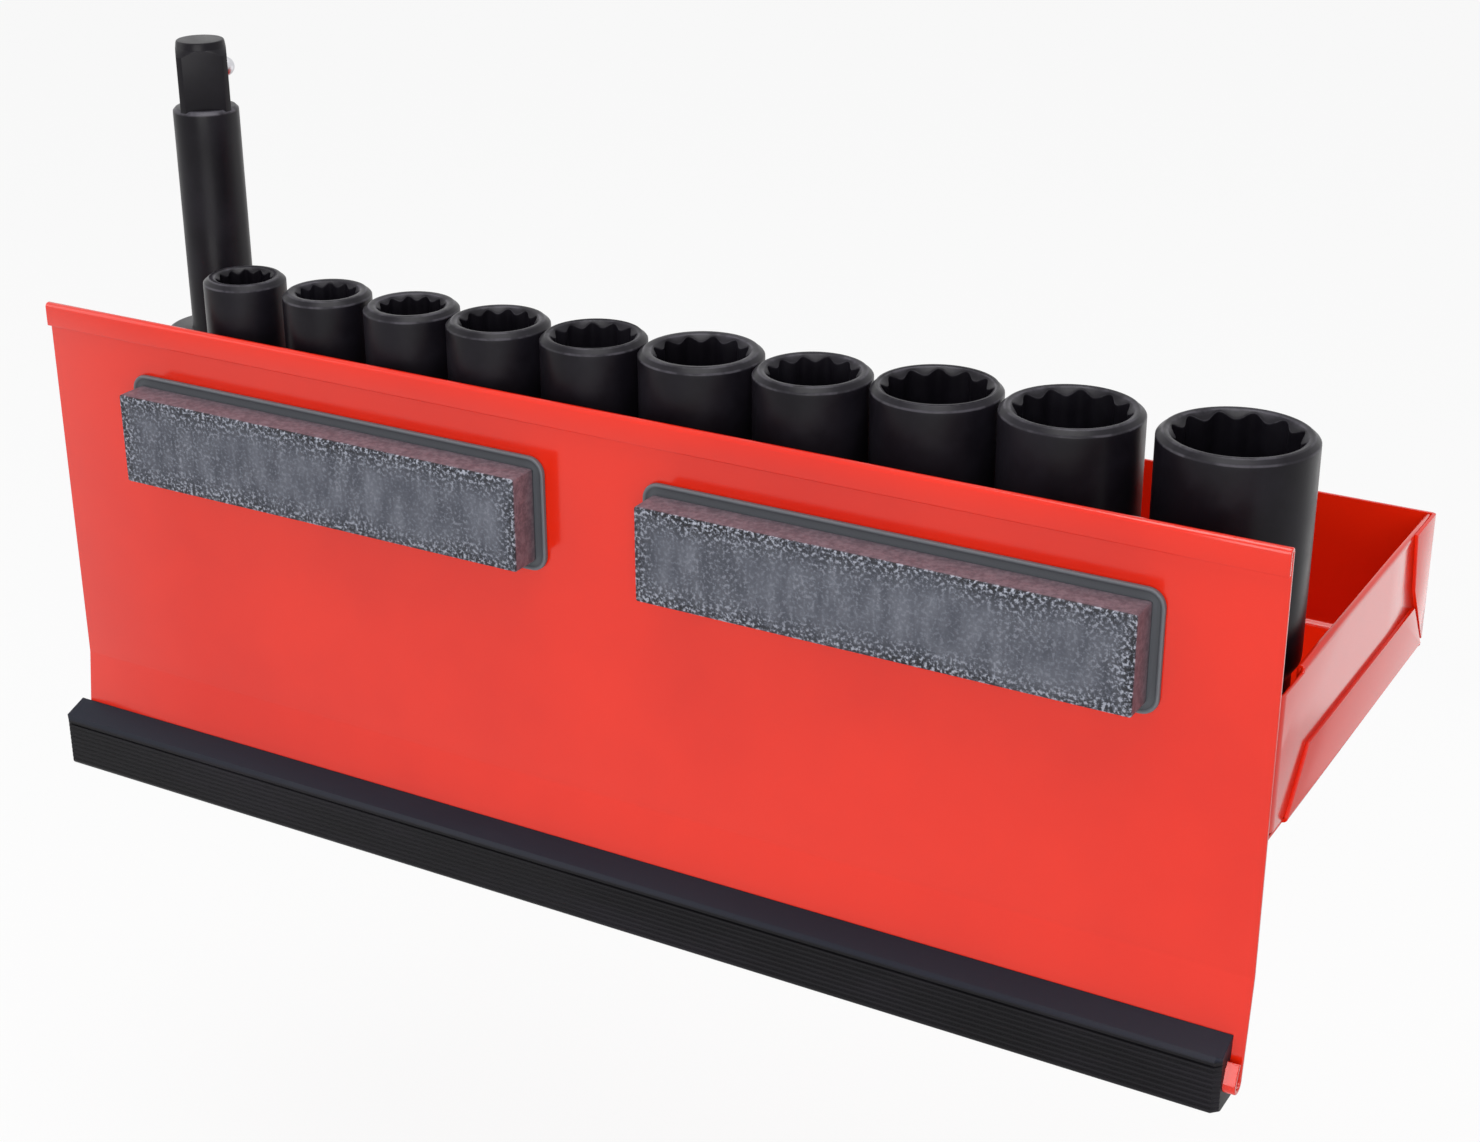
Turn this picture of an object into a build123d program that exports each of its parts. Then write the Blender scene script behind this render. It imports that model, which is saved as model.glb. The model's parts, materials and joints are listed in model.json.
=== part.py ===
from build123d import *
import os
from math import acos, atan2, cos, degrees, hypot, radians, sin, sqrt, tan

# Magnetic side tray: a red folded-sheet tray that hangs on the side of a steel cabinet by two magnet
# units, rests on a rubber bumper, and holds ten deep impact sockets and an extension bar.
# X runs along the tray, +Y points at the cabinet, Z is up. The cabinet's surface is the plane Y = 0,
# and the origin is the centre of the bumper's outer face. Everything is in millimetres.

os.makedirs("parts", exist_ok=True)

# mounting panel
panel_sheet = 1.0
standoff = 9.3  # cabinet surface to the panel's front face
hem_height = 6.0
hem_gap = 0.3
bend_drop = 97.9  # panel's top to the line where it starts to lean towards the cabinet
bend_radius = 4.0
bead_drop = 124.0  # panel's top to the lowest point of the rolled bead
bead_below_centre = 3.2  # that point below the bumper's centre line
bead_setback = 4.94  # cabinet surface to the bead's centre, which sets how far the panel leans
bead_inner_radius = 1.3
bead_close_angle = 24.0  # how far the bead's free leg slants back towards the panel
bead_leg_length = 4.6

# tray
tray_sheet = 0.8
tray_depth = 109.3  # panel's rear face to the far wall's outer face
wall_top_drop = 31.8  # panel's top to the tray walls' top edge
floor_drop = 65.9  # panel's top to the floor's underside
wrap_bend_radius = 2.6
wall_hem_height = 5.0
wall_hem_gap = 0.1
hem_notch_length = 14.5  # round each near corner the side walls have no hem
hem_notch_depth = 1.6
pan_bend_radius = 0.8
flap_bend_radius = 0.4
fold_clearance = 0.5
floor_flap_height = 14.0
floor_flap_start = 9.8  # panel's rear face to the flap's front end, at the floor
floor_flap_slant = 10.8
floor_flap_end = 98.5  # panel's rear face to the flap's far end, at its upper edge
floor_flap_end_slant = 9.5
corner_flap_length = 15.6
corner_flap_lean = 3.1
corner_flap_straight = 15.1
corner_flap_height = 31.6
skirt_height = 12.0  # flange that turns down behind the panel
skirt_inset = 14.0

# bumper strip
strip_shift = 2.7  # the strip sits this far towards +X of the panel's own centre
strip_top = 9.3
strip_shoulder_setback = 1.1
strip_shoulder_height = 6.9
strip_face_top = 6.0
strip_bottom = -7.0
strip_corner_radius = 1.2
strip_heel_setback = 9.3  # cabinet surface to the rear leg's back
strip_heel_radius = 0.6
strip_leg_top = 1.6
strip_clearance = 0.15
rib_count = 7
rib_spacing = 1.5
rib_groove_width = 0.6
rib_groove_depth = 0.45

# magnet units
magnet_length = 117.8
magnet_height = 22.8
magnet_top_drop = 17.0  # panel's top to the block's upper edge
magnet_spacing = 150.0
magnet_shift = -1.2  # the pair's centre from the panel's centre
flange_margin = 2.7
flange_thickness = 1.2
flange_corner_radius = 4.0
cover_wall = 1.4
cover_face_wall = 1.2
cover_edge_radius = 0.5
keeper_thickness = 1.5
magnet_clearance = 0.2
magnet_bar_count = 3
magnet_bar_gap = 5.4
rivet_diameter = 3.2
rivet_head_diameter = 6.0
rivet_head_height = 1.0
rivet_head_radius = 0.6
rivet_tail_diameter = 4.6
rivet_tail_length = 2.4
rivet_hole_clearance = 0.1

# sockets, all with the same length and drive
socket_length = 76.0
drive_square = 12.7
drive_clearance = 0.15
drive_depth = 17.0
drive_corner_radius = 0.6
drive_end_length = 24.0
step_taper = 3.0
web_hole_diameter = 9.5
point_depth = 26.0
point_relief = 0.6  # the clearance bore below the points is this much wider than they are
rim_chamfer = 1.3
mouth_chamfer = 0.9
foot_chamfer = 0.8
ring_groove_height = 8.0
ring_groove_width = 3.6
ring_groove_depth = 1.5
pin_hole_diameter = 3.2

# across flats, nose diameter, drive end diameter, gap to the tool before it along the row, gap to the
# wall behind the panel, turn of the points in degrees; the row starts beside the extension bar
socket_table = [
    (12.0, 20.2, 24.0, 8.0, 0.4, 8.0),
    (13.0, 21.6, 24.0, 1.4, 0.7, 3.0),
    (14.0, 23.0, 23.6, 0.6, 2.0, 12.0),
    (16.0, 24.6, 24.6, 0.5, 2.1, 20.0),
    (17.0, 25.0, 25.0, 0.7, 3.4, 5.0),
    (19.0, 28.8, 25.0, 0.3, 3.9, 16.0),
    (18.0, 26.9, 25.0, 0.55, 4.95, 10.0),
    (21.0, 29.2, 26.0, 0.15, 7.9, 24.0),
    (22.0, 31.3, 28.0, 0.55, 8.15, 14.0),
    (24.0, 33.7, 30.0, 3.1, 9.25, 6.0),
]
row_end_gap = 5.05  # last socket to the panel's end

# extension bar
bar_length = 125.0
bar_shaft_diameter = 16.8
bar_end_diameter = 31.0
bar_end_length = 48.7
bar_shoulder_radius = 1.6
square_length = 17.0
square_turned_diameter = 16.2
square_tip_height = 2.4
square_tip_diameter = 12.2
bar_side_gap = 0.3  # to the side wall's hem
bar_near_gap = 27.8  # to the wall behind the panel
bar_turn = 222.0  # direction of the ball about Z
ball_diameter = 5.0
ball_proud = 1.8
ball_below_tip = 7.2
ball_bore_clearance = 0.06
ball_bore_depth = 10.6
stake_depth = 0.2
stake_clearance = 0.011
spring_wire = 0.5
spring_diameter = 3.8
spring_coils = 4
spring_clearance = 0.1

# the row of tools sets the panel's length; each place is measured from the panel's +X end
hem_spread = tray_sheet + wall_hem_gap
bar_from_end = hem_spread + tray_sheet + bar_side_gap + bar_end_diameter / 2
reach = bar_from_end + bar_end_diameter / 2
socket_places = []
for flats, nose, drive_end, gap, near_gap, turn in socket_table:
    widest = max(nose, drive_end)
    socket_places.append(reach + gap + widest / 2)
    reach += gap + widest
panel_length = reach + row_end_gap

# levels and planes that several pieces share
half_length = panel_length / 2
panel_top = bead_drop - bead_below_centre
panel_front = -standoff
panel_rear = panel_front - panel_sheet
panel_middle = panel_front - panel_sheet / 2
near_inner = panel_rear - tray_sheet
far_outer = panel_rear - tray_depth
far_inner = far_outer + tray_sheet
wall_top = panel_top - wall_top_drop
floor_bottom = panel_top - floor_drop
floor_top = floor_bottom + tray_sheet
bend_z = panel_top - bend_drop
bead_radius = bead_inner_radius + panel_sheet / 2
bead_y = -bead_setback
bead_z = bead_inner_radius + panel_sheet - bead_below_centre
# the leaning sheet runs from the bend line to a tangent of the bead
bead_out, bead_down = bead_y - panel_middle, bend_z - bead_z
lean = acos(bead_radius / hypot(bead_out, bead_down)) - atan2(bead_down, bead_out)
bead_turn = 180 + bead_close_angle - degrees(lean)
lean_end_z = bead_z - bead_radius * sin(lean)
lean_end_y = bead_y - bead_radius * cos(lean)
magnet_z = panel_top - magnet_top_drop - magnet_height / 2
magnet_centres = {
    "left": magnet_shift - magnet_spacing / 2,
    "right": magnet_shift + magnet_spacing / 2,
}
pocket_length = magnet_length - 2 * cover_wall
pocket_height = magnet_height - 2 * cover_wall
filling_length = pocket_length - 2 * magnet_clearance
filling_height = pocket_height - 2 * magnet_clearance
bars_length = filling_length - (magnet_bar_count - 1) * magnet_bar_gap
magnet_bar_length = bars_length / magnet_bar_count
magnet_bar_spacing = magnet_bar_length + magnet_bar_gap
groove_bottom = ring_groove_height - ring_groove_width / 2
groove_top = ring_groove_height + ring_groove_width / 2
ball_radius = ball_diameter / 2
ball_centre_depth = ball_radius - ball_proud

pieces = {}


def keep(part, name):
    part.label = name
    pieces[name] = part


def facing_cabinet(x, y, z):
    """Plane square to Y: its local X is X, and its normal points at the cabinet."""
    return Plane(origin=(x, y, z), x_dir=(1, 0, 0), z_dir=(0, 1, 0))


# ---- mounting panel: hem, flat, lean and rolled bead, traced from the middle of the sheet
hem_y = panel_front + hem_gap + panel_sheet / 2
fold_radius = (hem_gap + panel_sheet) / 2
fold_z = panel_top - panel_sheet / 2 - fold_radius
bend_start_z = bend_z + bend_radius * tan(lean / 2)

with BuildPart() as mounting_panel:
    with BuildSketch(Plane.YZ):
        with BuildLine():
            Line((hem_y, panel_top - hem_height), (hem_y, fold_z))
            CenterArc((hem_y - fold_radius, fold_z), fold_radius, 0, 180)
            Line((panel_middle, fold_z), (panel_middle, bend_start_z))
            bend = JernArc((panel_middle, bend_start_z), (0, -1), bend_radius, degrees(lean))
            slope = Line(bend @ 1, (lean_end_y, lean_end_z))
            bead = JernArc(slope @ 1, slope % 1, bead_radius, bead_turn)
            PolarLine(bead @ 1, bead_leg_length, direction=bead % 1)
        trace(line_width=panel_sheet)
    extrude(amount=half_length, both=True)
    for centre in magnet_centres.values():
        with BuildSketch(facing_cabinet(centre, panel_rear, magnet_z)):
            with GridLocations(magnet_bar_spacing, 0, magnet_bar_count - 1, 1):
                Circle(rivet_diameter / 2 + rivet_hole_clearance)
        extrude(amount=panel_sheet, mode=Mode.SUBTRACT)
keep(mounting_panel.part, "mounting_panel")

# ---- tray wrap: near wall and both side walls from one strip of sheet, hemmed inwards along the sides
wrap_x = half_length - tray_sheet / 2
wrap_y = panel_rear - tray_sheet / 2
wrap_end = far_inner + fold_clearance
notch_z = wall_top - hem_notch_depth
hem_start = panel_rear - hem_notch_length
hem_fold_z = wall_top - tray_sheet / 2 - hem_spread / 2

with BuildPart() as tray_wrap:
    with BuildSketch(Plane.XY.offset(floor_top + fold_clearance)):
        with BuildLine():
            FilletPolyline(
                (wrap_x, wrap_end),
                (wrap_x, wrap_y),
                (-wrap_x, wrap_y),
                (-wrap_x, wrap_end),
                radius=wrap_bend_radius,
            )
        trace(line_width=tray_sheet)
    extrude(amount=notch_z - floor_top - fold_clearance)
    with BuildSketch(Plane.XZ.offset(-hem_start)):
        with BuildLine():
            Line((wrap_x, notch_z), (wrap_x, hem_fold_z))
            CenterArc((wrap_x - hem_spread / 2, hem_fold_z), hem_spread / 2, 0, 180)
            Line((wrap_x - hem_spread, hem_fold_z), (wrap_x - hem_spread, wall_top - wall_hem_height))
        trace(line_width=tray_sheet)
        mirror(about=Plane.YZ)
    extrude(amount=hem_start - wrap_end)
keep(tray_wrap.part, "tray_wrap")

# ---- tray pan: floor, far wall, and the flaps that lap outside the side walls
flap_x = half_length + tray_sheet / 2
far_middle = far_outer + tray_sheet / 2
floor_middle = floor_bottom + tray_sheet / 2
floor_flap_top = floor_bottom + floor_flap_height
flap_radius = flap_bend_radius + tray_sheet / 2
pan_radius = pan_bend_radius + tray_sheet / 2

with BuildPart() as floor_trough:
    with BuildSketch(Plane.XZ.offset(-panel_rear)):
        with BuildLine():
            FilletPolyline(
                (flap_x, floor_flap_top),
                (flap_x, floor_middle),
                (-flap_x, floor_middle),
                (-flap_x, floor_flap_top),
                radius=flap_radius,
            )
        trace(line_width=tray_sheet)
    extrude(amount=tray_depth)
    with BuildSketch(Plane.YZ):
        with BuildLine():
            Polyline(
                (panel_rear - floor_flap_start, floor_bottom),
                (panel_rear - floor_flap_start - floor_flap_slant, floor_flap_top),
                (panel_rear - floor_flap_end, floor_flap_top),
                (panel_rear - floor_flap_end - floor_flap_end_slant, floor_bottom),
                close=True,
            )
        make_face()
    extrude(amount=panel_length, both=True, mode=Mode.INTERSECT)

with BuildPart() as far_trough:
    with BuildSketch(Plane.XY.offset(floor_bottom)):
        with BuildLine():
            FilletPolyline(
                (flap_x, far_outer + corner_flap_length),
                (flap_x, far_middle),
                (-flap_x, far_middle),
                (-flap_x, far_outer + corner_flap_length),
                radius=flap_radius,
            )
        trace(line_width=tray_sheet)
    extrude(amount=wall_top - floor_bottom)
    with BuildSketch(Plane.YZ):
        with BuildLine():
            Polyline(
                (far_outer, wall_top),
                (far_outer + corner_flap_length, wall_top),
                (far_outer + corner_flap_length - corner_flap_lean, wall_top - corner_flap_straight),
                (far_inner, wall_top - corner_flap_height),
                (far_outer, wall_top - corner_flap_height),
                close=True,
            )
        make_face()
    extrude(amount=panel_length, both=True, mode=Mode.INTERSECT)

with BuildPart() as tray_pan:
    with BuildSketch(Plane.YZ):
        with BuildLine():
            FilletPolyline(
                (panel_rear - tray_sheet / 2, floor_bottom - skirt_height),
                (panel_rear - tray_sheet / 2, floor_middle),
                (far_middle, floor_middle),
                (far_middle, wall_top),
                radius=pan_radius,
            )
        trace(line_width=tray_sheet)
    extrude(amount=half_length - flap_bend_radius, both=True)
    skirt_depth = tray_sheet + pan_bend_radius
    with BuildSketch(Plane.YZ.offset(half_length)) as skirt_end:
        with Locations((panel_rear, floor_top)):
            Rectangle(skirt_depth, skirt_height + tray_sheet, align=(Align.MAX, Align.MAX))
    extrude(amount=-skirt_inset, mode=Mode.SUBTRACT)
    with BuildSketch(Plane.YZ.offset(-half_length)):
        add(skirt_end.sketch_local)
    extrude(amount=skirt_inset, mode=Mode.SUBTRACT)
    add(floor_trough.part)
    add(far_trough.part)
keep(tray_pan.part, "tray_pan")


# ---- bumper strip: ribbed face towards the cabinet, gripping the panel's bead
def beside_panel(z, offset):
    """Y of the line that runs beside the leaning sheet's middle at this distance from it."""
    return panel_middle + (bend_z - z) * tan(lean) + offset / cos(lean)


grip = panel_sheet / 2 + strip_clearance

with BuildPart() as bumper_strip:
    with BuildSketch(Plane.YZ.offset(strip_shift)):
        with BuildLine():
            Polyline(
                (beside_panel(strip_top, grip), strip_top),
                (-strip_shoulder_setback, strip_shoulder_height),
                (0, strip_face_top),
                (0, strip_bottom),
                (-strip_heel_setback, strip_bottom),
                (-strip_heel_setback, strip_leg_top),
                (beside_panel(strip_leg_top, 0), strip_leg_top),
                close=True,
            )
        outline = make_face()
        fillet(outline.vertices().group_by(Axis.Z)[0].sort_by(Axis.Y)[-1:], strip_corner_radius)
        rear = outline.vertices().sort_by(Axis.Y)[0:2]
        fillet(rear, strip_heel_radius)
        with GridLocations(0, rib_spacing, 1, rib_count + 1):
            Rectangle(2 * rib_groove_depth, rib_groove_width, mode=Mode.SUBTRACT)
    extrude(amount=half_length, both=True)
    with BuildSketch(Plane.YZ.offset(strip_shift)):
        with BuildLine():
            pocket_top = strip_top + panel_sheet
            bead_wall = CenterArc(
                (bead_y, bead_z), bead_radius + grip, 180 + degrees(lean), bead_turn
            )
            leg_wall = PolarLine(bead_wall @ 1, bead_leg_length + strip_clearance, direction=bead_wall % 1)
            leg_top = leg_wall @ 1
            Polyline(
                leg_top,
                (beside_panel(leg_top.Y, grip), leg_top.Y),
                (beside_panel(pocket_top, grip), pocket_top),
                (beside_panel(pocket_top, -grip), pocket_top),
                bead_wall @ 0,
            )
        make_face()
    extrude(amount=half_length, both=True, mode=Mode.SUBTRACT)
keep(bumper_strip.part, "bumper_strip")

# ---- magnet units: cover, keeper plate and ferrite bars; rivets hold each keeper to the panel
for side, centre in magnet_centres.items():
    seat = facing_cabinet(centre, panel_front, magnet_z)
    with BuildPart() as magnet_cover:
        with BuildSketch(seat):
            RectangleRounded(
                magnet_length + 2 * flange_margin,
                magnet_height + 2 * flange_margin,
                flange_corner_radius,
            )
        extrude(amount=flange_thickness)
        with BuildSketch(seat):
            Rectangle(magnet_length, magnet_height)
        extrude(amount=standoff)
        chamfer(magnet_cover.faces().sort_by(Axis.Y)[-1].edges(), cover_edge_radius)
        with BuildSketch(seat):
            Rectangle(pocket_length, pocket_height)
        extrude(amount=standoff - cover_face_wall, mode=Mode.SUBTRACT)
    keep(magnet_cover.part, f"magnet_cover_{side}")

    with BuildPart() as keeper_plate:
        with BuildSketch(seat):
            Rectangle(filling_length, filling_height)
            with GridLocations(magnet_bar_spacing, 0, magnet_bar_count - 1, 1):
                Circle(rivet_diameter / 2 + rivet_hole_clearance, mode=Mode.SUBTRACT)
        extrude(amount=keeper_thickness)
    keep(keeper_plate.part, f"keeper_plate_{side}")

    with BuildPart() as magnet_bars:
        with BuildSketch(seat.offset(keeper_thickness)):
            with GridLocations(magnet_bar_spacing, 0, magnet_bar_count, 1):
                Rectangle(magnet_bar_length, filling_height)
        extrude(amount=standoff - cover_face_wall - keeper_thickness - magnet_clearance)
    keep(magnet_bars.part, f"magnet_bars_{side}")

rivet_spots = [
    (centre + offset, panel_rear, magnet_z)
    for centre in magnet_centres.values()
    for offset in (-magnet_bar_spacing / 2, magnet_bar_spacing / 2)
]
stack = panel_sheet + keeper_thickness
tail_end = stack + rivet_tail_length

with BuildPart() as magnet_rivets:
    for spot in rivet_spots:
        with BuildSketch(Plane(origin=spot, x_dir=(1, 0, 0), z_dir=(0, 0, 1))):
            with BuildLine():
                Polyline(
                    (0, -rivet_head_height),
                    (rivet_head_diameter / 2 - rivet_head_radius, -rivet_head_height),
                    (rivet_head_diameter / 2, -rivet_head_height + rivet_head_radius),
                    (rivet_head_diameter / 2, 0),
                    (rivet_diameter / 2, 0),
                    (rivet_diameter / 2, stack),
                    (rivet_tail_diameter / 2, stack),
                    (rivet_tail_diameter / 2, tail_end),
                    (0, tail_end),
                    close=True,
                )
            make_face()
        revolve(axis=Axis(spot, (0, 1, 0)))
keep(magnet_rivets.part, "magnet_rivets")


# ---- sockets
def impact_socket(flats, nose, drive_end, from_end, near_gap, turn):
    """Deep 12-point socket standing on its drive end; turn sets the points about its axis."""
    foot = Plane(
        origin=(half_length - from_end, near_inner - near_gap - max(nose, drive_end) / 2, floor_top),
        x_dir=(cos(radians(turn)), sin(radians(turn)), 0),
        z_dir=(0, 0, 1),
    )
    upright = Plane(origin=foot.origin, x_dir=foot.x_dir, z_dir=-foot.y_dir)
    spin = Axis(foot.origin, (0, 0, 1))
    points_radius = flats / 2 / cos(radians(30))
    well_radius = points_radius + point_relief / 2
    well_floor = drive_end_length + step_taper

    with BuildPart() as socket:
        with BuildSketch(upright):
            with BuildLine():
                Polyline(
                    (0, 0),
                    (drive_end / 2 - foot_chamfer, 0),
                    (drive_end / 2, foot_chamfer),
                    (drive_end / 2, groove_bottom),
                    (drive_end / 2 - ring_groove_depth, groove_bottom),
                    (drive_end / 2 - ring_groove_depth, groove_top),
                    (drive_end / 2, groove_top),
                    (drive_end / 2, drive_end_length),
                    (nose / 2, drive_end_length + step_taper),
                    (nose / 2, socket_length - rim_chamfer),
                    (nose / 2 - rim_chamfer, socket_length),
                    (0, socket_length),
                    close=True,
                )
            make_face()
        revolve(axis=spin)
        with BuildSketch(foot):
            RectangleRounded(
                drive_square + 2 * drive_clearance,
                drive_square + 2 * drive_clearance,
                drive_corner_radius,
            )
        extrude(amount=drive_depth, mode=Mode.SUBTRACT)
        with BuildSketch(foot.offset(drive_depth)):
            Circle(web_hole_diameter / 2)
        extrude(amount=well_floor - drive_depth, mode=Mode.SUBTRACT)
        with BuildSketch(foot.offset(well_floor)):
            Circle(well_radius)
        extrude(amount=socket_length - point_depth - well_floor, mode=Mode.SUBTRACT)
        with BuildSketch(foot.offset(socket_length - point_depth)):
            RegularPolygon(flats / 2, 6, major_radius=False)
            RegularPolygon(flats / 2, 6, major_radius=False, rotation=30)
        extrude(amount=point_depth, mode=Mode.SUBTRACT)
        with BuildSketch(foot.offset(socket_length)):
            Circle(points_radius + mouth_chamfer / 2)
        extrude(amount=-points_radius, taper=45, mode=Mode.SUBTRACT)
        with BuildSketch(Plane(origin=foot.origin, x_dir=foot.y_dir, z_dir=foot.x_dir)):
            with Locations((0, ring_groove_height)):
                Circle(pin_hole_diameter / 2)
        extrude(amount=drive_end, both=True, mode=Mode.SUBTRACT)
    return socket.part


for number, (row, from_end) in enumerate(zip(socket_table, socket_places), start=1):
    flats, nose, drive_end, gap, near_gap, turn = row
    keep(impact_socket(flats, nose, drive_end, from_end, near_gap, turn), f"socket_{number:02d}")

# ---- extension bar
bar_foot = Plane(
    origin=(half_length - bar_from_end, near_inner - bar_near_gap - bar_end_diameter / 2, floor_top),
    x_dir=(cos(radians(bar_turn)), sin(radians(bar_turn)), 0),
    z_dir=(0, 0, 1),
)
bar_upright = Plane(origin=bar_foot.origin, x_dir=bar_foot.x_dir, z_dir=-bar_foot.y_dir)
bar_axis = Axis(bar_foot.origin, (0, 0, 1))
shaft_top = bar_length - square_length
ball_height = bar_length - ball_below_tip
ball_mouth = Plane(
    origin=bar_foot.origin + bar_foot.x_dir * (drive_square / 2) + Vector(0, 0, ball_height),
    x_dir=(0, 0, 1),
    z_dir=bar_foot.x_dir,
)
# the staked rim is narrower than the ball, so it holds the ball in
stake_radius = sqrt(ball_radius**2 - (ball_centre_depth - stake_depth) ** 2) + stake_clearance

with BuildPart() as drive_tang:
    with BuildSketch(bar_foot.offset(shaft_top)):
        Rectangle(drive_square, drive_square)
    extrude(amount=square_length)
    with BuildSketch(bar_upright):
        with BuildLine():
            Line((0, shaft_top), (square_turned_diameter / 2, shaft_top))
            Line(
                (square_turned_diameter / 2, shaft_top),
                (square_turned_diameter / 2, bar_length - square_tip_height),
            )
            TangentArc(
                (square_turned_diameter / 2, bar_length - square_tip_height),
                (square_tip_diameter / 2, bar_length),
                tangent=(0, 1),
            )
            Polyline((square_tip_diameter / 2, bar_length), (0, bar_length), (0, shaft_top))
        make_face()
    revolve(axis=bar_axis, mode=Mode.INTERSECT)

with BuildPart() as extension_bar:
    with BuildSketch(bar_upright):
        with BuildLine():
            Polyline(
                (0, 0),
                (bar_end_diameter / 2 - foot_chamfer, 0),
                (bar_end_diameter / 2, foot_chamfer),
                (bar_end_diameter / 2, groove_bottom),
                (bar_end_diameter / 2 - ring_groove_depth, groove_bottom),
                (bar_end_diameter / 2 - ring_groove_depth, groove_top),
                (bar_end_diameter / 2, groove_top),
                (bar_end_diameter / 2, bar_end_length - bar_shoulder_radius),
            )
            RadiusArc(
                (bar_end_diameter / 2, bar_end_length - bar_shoulder_radius),
                (bar_end_diameter / 2 - bar_shoulder_radius, bar_end_length),
                -bar_shoulder_radius,
            )
            Polyline(
                (bar_end_diameter / 2 - bar_shoulder_radius, bar_end_length),
                (bar_shaft_diameter / 2, bar_end_length),
                (bar_shaft_diameter / 2, shaft_top - foot_chamfer),
                (bar_shaft_diameter / 2 - foot_chamfer, shaft_top),
                (0, shaft_top),
                (0, 0),
            )
        make_face()
    revolve(axis=bar_axis)
    add(drive_tang.part)
    with BuildSketch(bar_foot):
        RectangleRounded(
            drive_square + 2 * drive_clearance,
            drive_square + 2 * drive_clearance,
            drive_corner_radius,
        )
    extrude(amount=drive_depth, mode=Mode.SUBTRACT)
    with BuildSketch(Plane(origin=bar_foot.origin, x_dir=bar_foot.y_dir, z_dir=bar_foot.x_dir)):
        with Locations((0, ring_groove_height)):
            Circle(pin_hole_diameter / 2)
    extrude(amount=bar_end_diameter, both=True, mode=Mode.SUBTRACT)
    with BuildSketch(ball_mouth):
        Circle(stake_radius)
    extrude(amount=-stake_depth, mode=Mode.SUBTRACT)
    with BuildSketch(ball_mouth.offset(-stake_depth)):
        Circle(ball_radius + ball_bore_clearance)
    extrude(amount=stake_depth - ball_bore_depth, mode=Mode.SUBTRACT)
keep(extension_bar.part, "extension_bar")

with BuildPart(ball_mouth.offset(-ball_centre_depth)) as detent_ball:
    Sphere(ball_radius)
keep(detent_ball.part, "detent_ball")

# the spring runs from the ball's back to the end of its bore
coil_start = ball_centre_depth + ball_radius + spring_clearance + spring_wire / 2
coil_end = ball_bore_depth - spring_clearance - spring_wire / 2
coil_seat = ball_mouth.offset(-coil_end)
coil_radius = (spring_diameter - spring_wire) / 2

with BuildPart() as detent_spring:
    with BuildLine():
        coil = Helix(
            pitch=(coil_end - coil_start) / spring_coils,
            height=coil_end - coil_start,
            radius=coil_radius,
            center=coil_seat.origin,
            direction=coil_seat.z_dir,
        )
    with BuildSketch(Plane(origin=coil @ 0, z_dir=coil % 0)):
        RegularPolygon(spring_wire / 2, 6)
    sweep(path=coil, is_frenet=True)
keep(detent_spring.part, "detent_spring")

for name, part in pieces.items():
    export_step(part, f"parts/{name}.step")
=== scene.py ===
import bpy
import bmesh
import json
from math import cos, pi, radians, sin, sqrt
from mathutils import Matrix, Vector


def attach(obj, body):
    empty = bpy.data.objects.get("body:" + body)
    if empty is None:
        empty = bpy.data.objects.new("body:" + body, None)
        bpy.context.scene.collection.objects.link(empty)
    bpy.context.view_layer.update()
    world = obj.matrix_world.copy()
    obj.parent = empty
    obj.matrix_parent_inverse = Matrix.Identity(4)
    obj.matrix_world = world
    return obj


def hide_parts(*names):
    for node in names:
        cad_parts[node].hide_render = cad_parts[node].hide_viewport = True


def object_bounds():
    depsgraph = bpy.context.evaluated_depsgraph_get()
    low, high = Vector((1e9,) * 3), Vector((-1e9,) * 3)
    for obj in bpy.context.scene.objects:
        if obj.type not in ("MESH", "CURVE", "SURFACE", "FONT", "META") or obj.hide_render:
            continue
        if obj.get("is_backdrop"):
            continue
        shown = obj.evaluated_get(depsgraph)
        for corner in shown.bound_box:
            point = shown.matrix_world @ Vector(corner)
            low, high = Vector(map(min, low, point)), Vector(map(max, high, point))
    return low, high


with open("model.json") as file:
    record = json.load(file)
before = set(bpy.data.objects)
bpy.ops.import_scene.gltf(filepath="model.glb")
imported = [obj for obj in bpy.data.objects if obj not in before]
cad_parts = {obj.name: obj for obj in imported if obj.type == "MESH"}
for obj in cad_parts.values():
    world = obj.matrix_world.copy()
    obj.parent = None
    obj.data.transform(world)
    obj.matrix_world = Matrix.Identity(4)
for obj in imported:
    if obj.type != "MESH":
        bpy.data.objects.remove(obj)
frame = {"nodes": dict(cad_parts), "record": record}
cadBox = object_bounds()
nodes = frame["nodes"]
mm = 0.001
xAxis, yAxis, zAxis = Vector((1, 0, 0)), Vector((0, 1, 0)), Vector((0, 0, 1))
slack = 1e-3  # places this near each other, in millimetres, count as one
weldReach = 1e-4  # corners this near each other are joined

# ---- levels shared by several pieces, in millimetres in the shared frame
tray = {
    "halfLength": 162.5,
    "panelFront": -9.3,
    "panelSheet": 1.0,
    "sheet": 0.8,
    "wallTop": 89.0,
    "floorBottom": 54.9,
    "farOuter": -119.6,
}
panelRear = tray["panelFront"] - tray["panelSheet"]
floorTop = tray["floorBottom"] + tray["sheet"]
farInner = tray["farOuter"] + tray["sheet"]


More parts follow.
